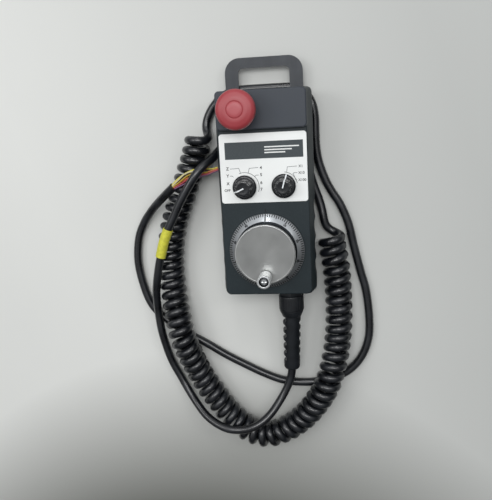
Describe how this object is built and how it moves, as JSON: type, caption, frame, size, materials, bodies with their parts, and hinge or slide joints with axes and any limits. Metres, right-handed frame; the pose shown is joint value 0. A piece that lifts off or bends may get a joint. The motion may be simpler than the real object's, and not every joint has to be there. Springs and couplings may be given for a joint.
{
  "type": "pulse generator pendant",
  "caption": "Hand-held machine pendant with a crank handwheel on a graduated dial, two selector knobs, a red mushroom stop button, a hanger loop and a curly cable",
  "frame": {"origin": "centre of the bounding box's base, on the back face the pendant lies on, measured without the cable", "axes": "X across the panel, Y towards the hanger loop, Z out of the panel"},
  "size_m": [0.266, 0.4333, 0.098],
  "materials": {
    "housing": "fine-grained dark grey ABS",
    "back": "fine-grained dark grey ABS",
    "hanger": "dark grey powder coat",
    "label": "white printed faceplate",
    "knob": "black satin plastic",
    "steel": "zinc-plated steel",
    "shaft": "turned steel",
    "switch": "dark moulding",
    "stop_red": "signal red plastic",
    "stop_grey": "light grey plastic",
    "black": "black nylon",
    "block": "blue contact block",
    "aluminium": "satin machined aluminium",
    "glass": "coated code disc",
    "pcb": "green circuit board",
    "terminal": "green terminal strips",
    "cable": "black cable sheath",
    "marker": "yellow sleeve"
  },
  "bodies": {
    "housing": {"front_shell": "housing", "back_shell": "back", "shell_screws": "steel", "hanger_loop": "hanger", "hanger_screws": "steel", "faceplate": "label", "axis_switch": "switch", "axis_switch_nut": "steel", "multiplier_switch": "switch", "multiplier_switch_nut": "steel", "stop_bezel": "black", "stop_locknut": "black", "stop_spring": "steel", "stop_contact_block": "block", "encoder_body": "switch", "encoder_cover": "black", "encoder_bearings": "steel", "encoder_reader": "pcb", "encoder_screws": "steel", "terminal_board": "pcb", "terminal_strips": "terminal", "board_screws": "steel", "gland_body": "black", "gland_nut": "black", "gland_locknut": "black", "bend_relief": "cable", "lead_cable": "cable", "cable_marker": "marker", "curly_cord": "cable", "tail_cable": "cable"},
    "axis_selector": {"axis_knob": "knob", "axis_switch_shaft": "shaft"},
    "multiplier_selector": {"multiplier_knob": "knob", "multiplier_switch_shaft": "shaft"},
    "stop_plunger_body": {"stop_plunger": "stop_grey"},
    "stop_head_body": {"stop_head": "stop_red"},
    "wheel": {"dial_ring": "aluminium", "wheel_drum": "black", "wheel_disc": "aluminium", "wheel_shaft": "shaft", "code_disc": "glass", "crank_axle": "steel"},
    "handle": {"crank_handle": "aluminium"}
  },
  "joints": [
    {"name": "wheel_spin", "type": "hinge", "parent": "housing", "child": "wheel", "pos_m": [0, -0.0613, 0.06], "axis": [0, 0, 1], "continuous": true},
    {"name": "handle_spin", "type": "hinge", "parent": "wheel", "child": "handle", "pos_m": [0, -0.0833, 0.08], "axis": [0, 0, 1], "continuous": true},
    {"name": "stop_press", "type": "slide", "parent": "housing", "child": "stop_plunger_body", "axis": [0, 0, -1], "range_m": [0, 0.004], "stiffness_N_per_m": 1500},
    {"name": "stop_twist", "type": "hinge", "parent": "stop_plunger_body", "child": "stop_head_body", "pos_m": [-0.021, 0.0793, 0.08], "axis": [0, 0, 1], "range_deg": [-40, 0], "stiffness_Nm_per_rad": 0.02},
    {"name": "axis_select", "type": "hinge", "parent": "housing", "child": "axis_selector", "pos_m": [-0.0195, 0.0038, 0.06], "axis": [0, 0, 1], "range_deg": [-210, 0]},
    {"name": "multiplier_select", "type": "hinge", "parent": "housing", "child": "multiplier_selector", "pos_m": [0.0195, 0.0038, 0.06], "axis": [0, 0, 1], "range_deg": [-60, 0]}
  ]
}
